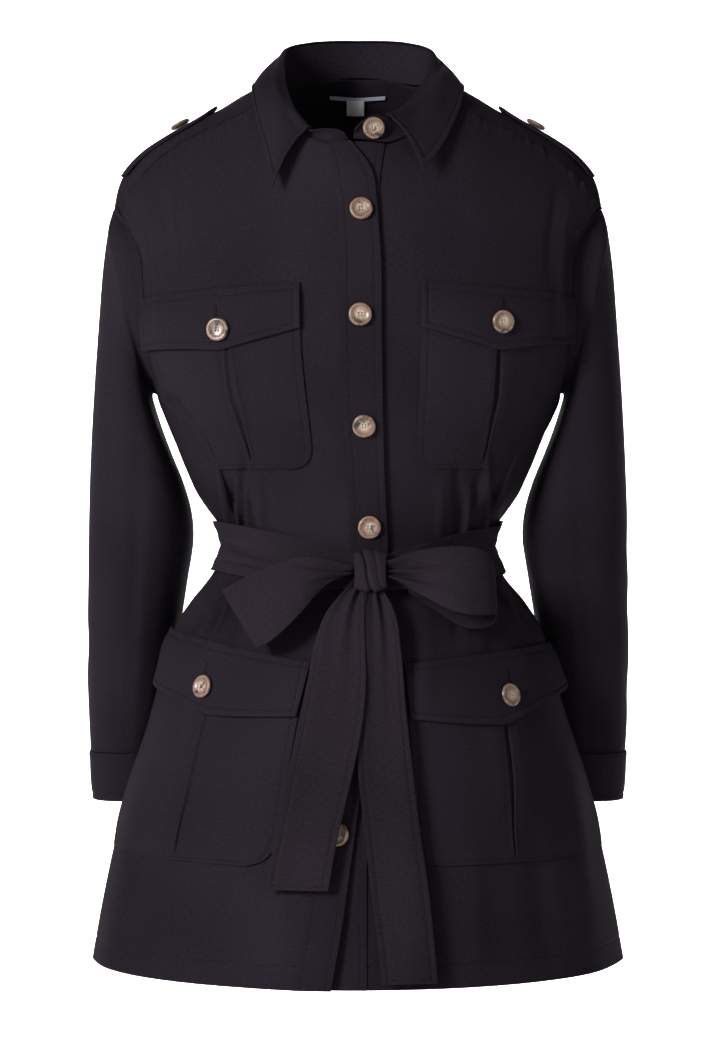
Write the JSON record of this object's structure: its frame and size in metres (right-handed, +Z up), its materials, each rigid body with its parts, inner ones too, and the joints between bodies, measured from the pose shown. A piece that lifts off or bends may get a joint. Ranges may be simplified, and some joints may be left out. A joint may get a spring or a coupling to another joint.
{
  "type": "safari jacket",
  "caption": "belted safari jacket with a turned-down collar, buttoned front, flap patch pockets with pleats, shoulder straps and a tied cloth belt",
  "frame": {"origin": "middle of the neck opening at the height of the neck side", "axes": "the front faces -Y, +Z is up, +X is at the right of the front view"},
  "size_m": [0.4968, 0.3452, 0.8365],
  "materials": {
    "jacket_cloth": "matte twill",
    "belt_cloth": "matte twill",
    "horn_button": "polished",
    "neck_tape": "matte",
    "size_label": "satin"
  },
  "bodies": {
    "root": {"back": "jacket_cloth", "belt_band": "belt_cloth", "belt_knot": "belt_cloth", "belt_loop_l": "belt_cloth", "belt_loop_r": "belt_cloth", "belt_tail_l": "belt_cloth", "belt_tail_r": "belt_cloth", "breast_flap_l": "jacket_cloth", "breast_flap_r": "jacket_cloth", "breast_pocket_l": "jacket_cloth", "breast_pocket_r": "jacket_cloth", "button_1": "horn_button", "button_2": "horn_button", "button_3": "horn_button", "button_4": "horn_button", "button_5": "horn_button", "button_6": "horn_button", "button_7": "horn_button", "button_breast_l": "horn_button", "button_breast_r": "horn_button", "button_collar": "horn_button", "button_epaulette_l": "horn_button", "button_epaulette_r": "horn_button", "button_hip_l": "horn_button", "button_hip_r": "horn_button", "collar_leaf": "jacket_cloth", "collar_stand": "jacket_cloth", "cuff_l": "jacket_cloth", "cuff_r": "jacket_cloth", "epaulette_l": "jacket_cloth", "epaulette_r": "jacket_cloth", "front_l": "jacket_cloth", "front_r": "jacket_cloth", "hip_flap_l": "jacket_cloth", "hip_flap_r": "jacket_cloth", "hip_pocket_l": "jacket_cloth", "hip_pocket_r": "jacket_cloth", "neck_tape": "neck_tape", "placket_top": "jacket_cloth", "placket_under": "jacket_cloth", "size_label": "size_label", "sleeve_l": "jacket_cloth", "sleeve_r": "jacket_cloth", "yoke": "jacket_cloth"}
  },
  "joints": []
}
